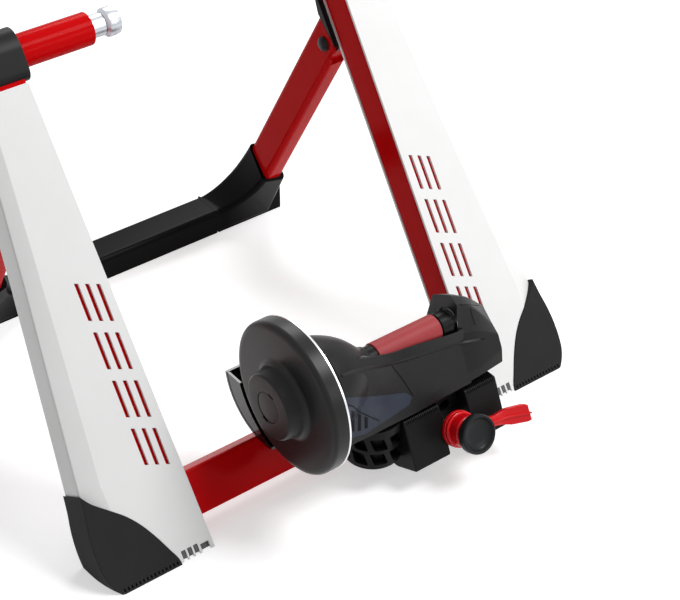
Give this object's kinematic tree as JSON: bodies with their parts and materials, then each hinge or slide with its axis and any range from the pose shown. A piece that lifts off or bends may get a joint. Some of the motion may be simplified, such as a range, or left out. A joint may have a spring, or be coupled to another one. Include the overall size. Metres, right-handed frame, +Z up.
{
  "type": "wheel-on turbo trainer",
  "caption": "Folding stand that holds a bicycle by its rear axle over a sliding, tilting magnetic brake unit with a flywheel and a tyre roller.",
  "frame": {"origin": "on the floor, at the middle of the whole object seen from above", "axes": "+Z up, +Y towards the bicycle's front, +X to the right seen from behind, along the roller"},
  "size_m": [0.5944, 0.5936, 0.4417],
  "materials": {
    "red_paint": "deep red gloss paint",
    "white_cover": "glossy white moulding",
    "black_plastic": "satin black moulding",
    "foot_rubber": "matt dark rubber",
    "grey_rubber": "matt grey rubber",
    "roller_rubber": "soft red elastomer",
    "red_plastic": "bright red moulding",
    "zinc_steel": "bright zinc-plated steel",
    "black_steel": "black-coated steel",
    "aluminium": "turned aluminium"
  },
  "bodies": {
    "frame": {"cross_tube": "red_paint", "lever_pin": "zinc_steel", "leg_tube_left": "red_paint", "leg_tube_right": "red_paint", "leg_cover_left": "white_cover", "leg_cover_right": "white_cover", "foot_pad_left": "foot_rubber", "foot_pad_right": "foot_rubber", "foot_strip_left": "grey_rubber", "foot_strip_right": "grey_rubber", "head_left": "black_plastic", "head_right": "black_plastic", "clamp_sleeve_left": "red_paint", "clamp_sleeve_right": "red_paint", "hinge_bracket_left": "black_steel", "hinge_bracket_right": "black_steel", "pivot_bolt_left": "black_steel", "pivot_bolt_right": "black_steel", "pivot_nut_left": "zinc_steel", "pivot_nut_right": "zinc_steel"},
    "front_frame": {"front_bar": "black_plastic", "front_leg_left": "red_paint", "front_leg_right": "red_paint", "elbow_left": "black_plastic", "elbow_right": "black_plastic"},
    "left_spindle": {"spindle_left": "zinc_steel", "axle_cup_left": "zinc_steel"},
    "right_spindle": {"spindle_right": "zinc_steel", "axle_cup_right": "zinc_steel"},
    "left_lever": {"quick_lever": "red_plastic"},
    "right_nut": {"ring_nut": "black_plastic"},
    "carrier": {"carrier_saddle": "black_plastic", "cheek_left": "black_plastic", "cheek_right": "black_plastic", "tilt_pin": "zinc_steel", "cam_seat": "red_plastic"},
    "clamp_slider": {"clamp_hook": "black_steel", "clamp_rod": "zinc_steel"},
    "clamp_lever": {"cam_lever": "red_plastic"},
    "clamp_knob": {"knob": "black_plastic"},
    "brake_unit": {"housing": "black_plastic", "front_cover": "black_plastic", "drum": "black_plastic", "guard": "black_plastic", "magnet_plate": "black_steel", "bearing_left": "zinc_steel", "bearing_right": "zinc_steel"},
    "rotor": {"shaft": "zinc_steel", "roller_core": "black_plastic", "roller_sleeve": "roller_rubber", "flywheel_cover": "black_plastic", "hub_cap": "black_plastic", "flywheel": "black_steel", "brake_disc": "aluminium"}
  },
  "joints": [
    {"name": "front_frame_fold", "type": "hinge", "parent": "frame", "child": "front_frame", "pos_m": [0, 0.08989, 0.31386], "axis": [-1, 0, 0], "range_deg": [0, 60]},
    {"name": "left_lever_turn", "type": "hinge", "parent": "frame", "child": "left_lever", "pos_m": [-0.258, 0.10734, 0.41546], "axis": [0, 0.5667, 0.8239], "range_deg": [0, 100]},
    {"name": "left_spindle_slide", "type": "slide", "parent": "frame", "child": "left_spindle", "axis": [-1, 0, 0], "range_m": [0, 0.01]},
    {"name": "right_nut_turn", "type": "hinge", "parent": "frame", "child": "right_nut", "pos_m": [0.247, 0.10734, 0.41546], "axis": [-1, 0, 0], "range_deg": [0, 1800]},
    {"name": "right_spindle_slide", "type": "slide", "parent": "frame", "child": "right_spindle", "axis": [1, 0, 0], "range_m": [0, 0.015]},
    {"name": "carrier_slide", "type": "slide", "parent": "frame", "child": "carrier", "axis": [1, 0, 0], "range_m": [-0.056, 0.015]},
    {"name": "clamp_lever_turn", "type": "hinge", "parent": "carrier", "child": "clamp_lever", "pos_m": [0.0885, -0.25402, 0.04904], "axis": [0, -0.9135, 0.4067], "range_deg": [0, 45]},
    {"name": "knob_turn", "type": "hinge", "parent": "carrier", "child": "clamp_knob", "pos_m": [0.0885, -0.25402, 0.04904], "axis": [0, -0.9135, 0.4067], "range_deg": [0, 1152]},
    {"name": "clamp_slide", "type": "slide", "parent": "carrier", "child": "clamp_slider", "axis": [0, 0.9135, -0.4067], "range_m": [0, 0.004]},
    {"name": "brake_unit_tilt", "type": "hinge", "parent": "carrier", "child": "brake_unit", "pos_m": [0, -0.14068, 0.078], "axis": [-1, 0, 0], "range_deg": [0, 34]},
    {"name": "rotor_spin", "type": "hinge", "parent": "brake_unit", "child": "rotor", "pos_m": [0, -0.20768, 0.1493], "axis": [1, 0, 0], "continuous": true}
  ],
  "couplings": [
    {"joint": "left_spindle_slide", "follows": "left_lever_turn", "m_per_rad": 0.0056723},
    {"joint": "right_nut_turn", "follows": "right_spindle_slide", "rad_per_m": 2092.3},
    {"joint": "knob_turn", "follows": "clamp_slide", "rad_per_m": 5021.5}
  ]
}
